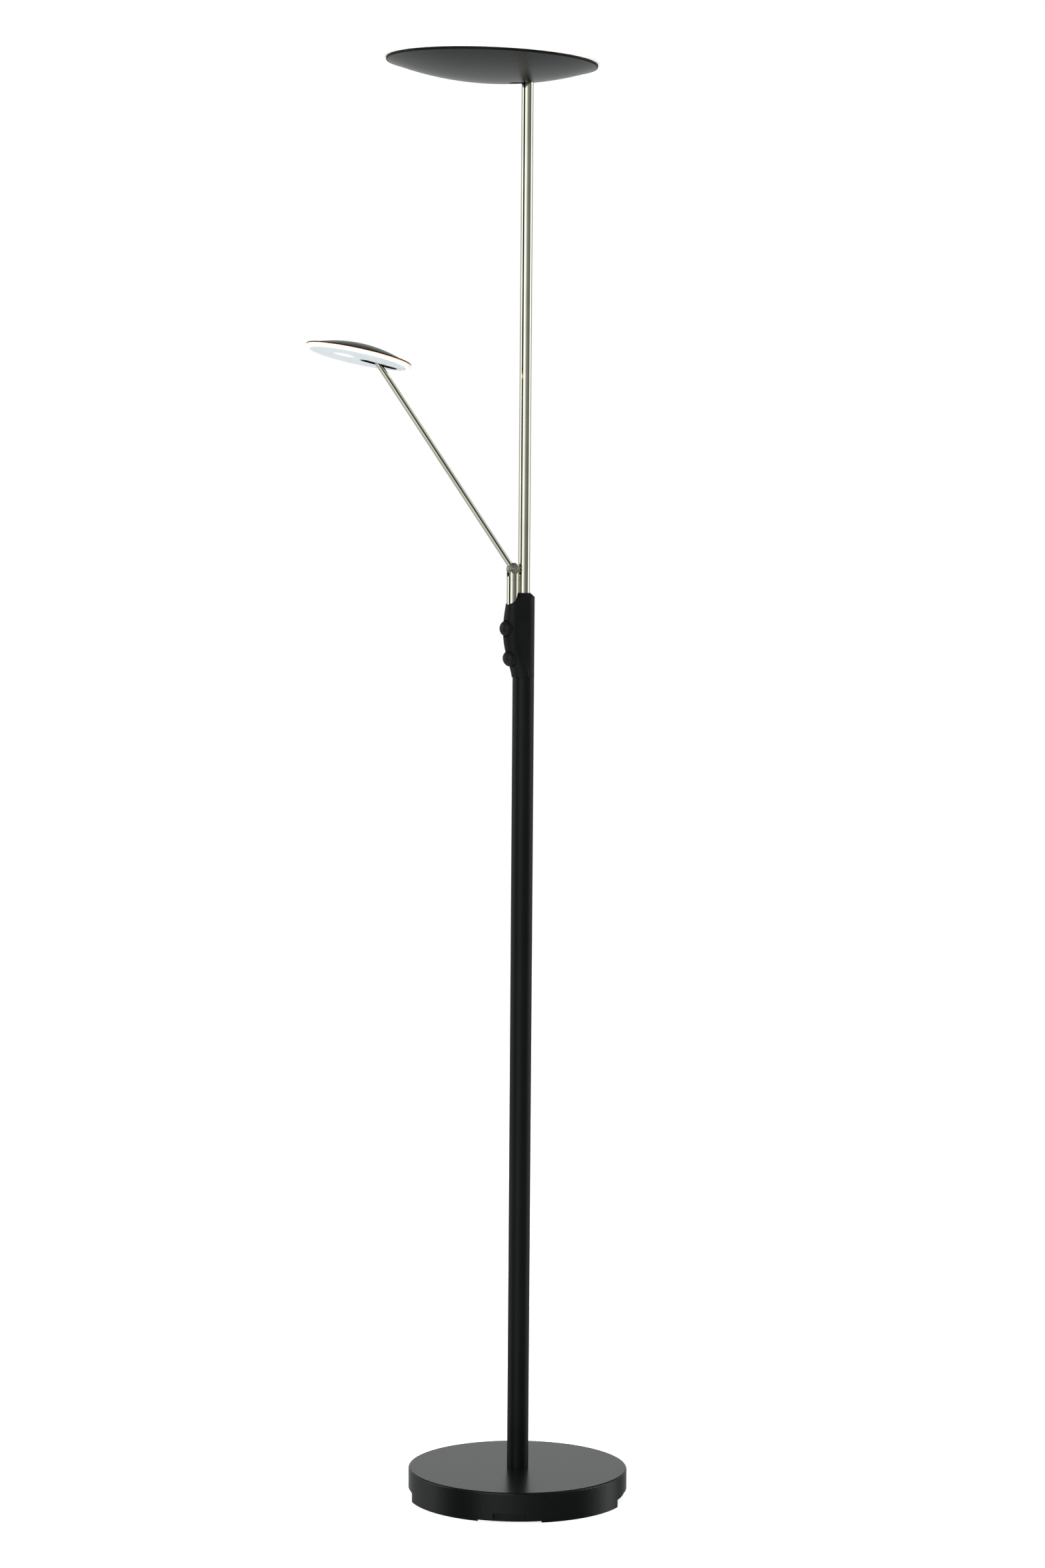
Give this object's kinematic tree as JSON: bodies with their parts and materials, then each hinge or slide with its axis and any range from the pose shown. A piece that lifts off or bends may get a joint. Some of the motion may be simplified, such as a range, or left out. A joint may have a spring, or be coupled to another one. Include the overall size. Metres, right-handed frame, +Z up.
{
  "type": "torchiere floor lamp",
  "caption": "Torchiere floor lamp: round weighted base, black pole, control housing with dimmer knobs, tilting uplight dish and a jointed reading arm with a disc head.",
  "frame": {"origin": "centre of the base on the floor, in the plane of the rubber foot ring's underside", "axes": "+Z up along the pole, +Y towards the cord gland at the back of the base; the housing and dish lie in the upright plane 36 degrees about Z from -X, and the reading arm at rest in the plane 29.7 degrees from -X"},
  "size_m": [0.4054, 0.3226, 1.8332],
  "materials": {
    "powder_grey": "fine powder coat, satin",
    "iron": "rough casting",
    "black_plastic": "matte",
    "housing_black": "fine satin moulding",
    "knob_black": "gloss",
    "zinc_steel": "zinc plated",
    "black_rubber": "matte",
    "board": "solder masked circuit board",
    "pole_black": "satin black enamel",
    "nickel": "satin nickel plating",
    "bush_plastic": "natural low-friction plastic",
    "dish_grey": "satin dark grey enamel",
    "acrylic_edge": "clear moulded edge",
    "plate_silver": "fine anodised",
    "lens": "frosted",
    "diffuser_white": "opal acrylic",
    "aluminium": "plain sheet"
  },
  "bodies": {
    "stand": {"base_cover": "powder_grey", "base_weight": "iron", "base_pan": "black_plastic", "pan_screws": "zinc_steel", "foot_ring": "black_rubber", "pole_stud": "zinc_steel", "stud_washer": "zinc_steel", "stud_nut": "zinc_steel", "cord_gland": "black_plastic", "driver_case": "black_plastic", "driver_lid": "black_plastic", "driver_board": "board", "lower_pole": "pole_black", "middle_pole": "pole_black", "pole_foot_insert": "zinc_steel", "pole_coupler": "zinc_steel", "pole_spigot": "zinc_steel", "tube_set_screw": "zinc_steel", "upper_tube": "nickel", "housing_left": "housing_black", "housing_right": "housing_black", "housing_screws": "zinc_steel", "main_dimmer": "black_plastic", "reading_dimmer": "black_plastic", "dimmer_board": "board", "swivel_bush": "bush_plastic", "dish_hinge_block": "nickel"},
    "main_knob": {"main_knob": "knob_black", "main_knob_shaft": "zinc_steel"},
    "reading_knob": {"reading_knob": "knob_black", "reading_knob_shaft": "zinc_steel"},
    "swivel": {"swivel_collar": "zinc_steel", "stub_tube": "nickel", "fork": "nickel", "fork_screw": "nickel", "fork_nut": "nickel", "fork_washers": "bush_plastic"},
    "arm": {"arm_lug": "nickel", "arm_tube": "nickel", "arm_head_block": "nickel"},
    "head": {"head_shell": "dish_grey", "head_ring": "acrylic_edge", "head_plate": "plate_silver", "head_slot_liner": "black_plastic", "head_lens": "lens", "head_led_board": "board", "head_bracket": "nickel", "head_pin": "nickel"},
    "dish": {"dish_shell": "dish_grey", "dish_heat_plate": "aluminium", "dish_led_board": "board", "dish_diffuser": "diffuser_white", "dish_screws": "zinc_steel", "dish_bracket": "zinc_steel", "dish_hinge_pin": "zinc_steel"}
  },
  "joints": [
    {"name": "arm_swivel", "type": "hinge", "parent": "stand", "child": "swivel", "pos_m": [-0.01359, -0.00988, 1.15], "axis": [0, 0, 1], "range_deg": [-113, 126]},
    {"name": "arm_tilt", "type": "hinge", "parent": "swivel", "child": "arm", "pos_m": [-0.01359, -0.00988, 1.192], "axis": [0.4955, -0.8686, 0], "range_deg": [-20, 66]},
    {"name": "head_tilt", "type": "hinge", "parent": "arm", "child": "head", "pos_m": [-0.1819, -0.10588, 1.45578], "axis": [-0.4955, 0.8686, 0], "range_deg": [-90, 18]},
    {"name": "dish_tilt", "type": "hinge", "parent": "stand", "child": "dish", "pos_m": [0, 0, 1.811], "axis": [-0.5878, 0.809, 0], "range_deg": [-45, 3]},
    {"name": "main_dimmer_turn", "type": "hinge", "parent": "stand", "child": "main_knob", "pos_m": [-0.0182, -0.01323, 1.117], "axis": [-0.809, -0.5878, 0], "range_deg": [-270, 0]},
    {"name": "reading_dimmer_turn", "type": "hinge", "parent": "stand", "child": "reading_knob", "pos_m": [-0.01424, -0.01035, 1.0795], "axis": [-0.7737, -0.5621, -0.2924], "range_deg": [-270, 0]}
  ]
}
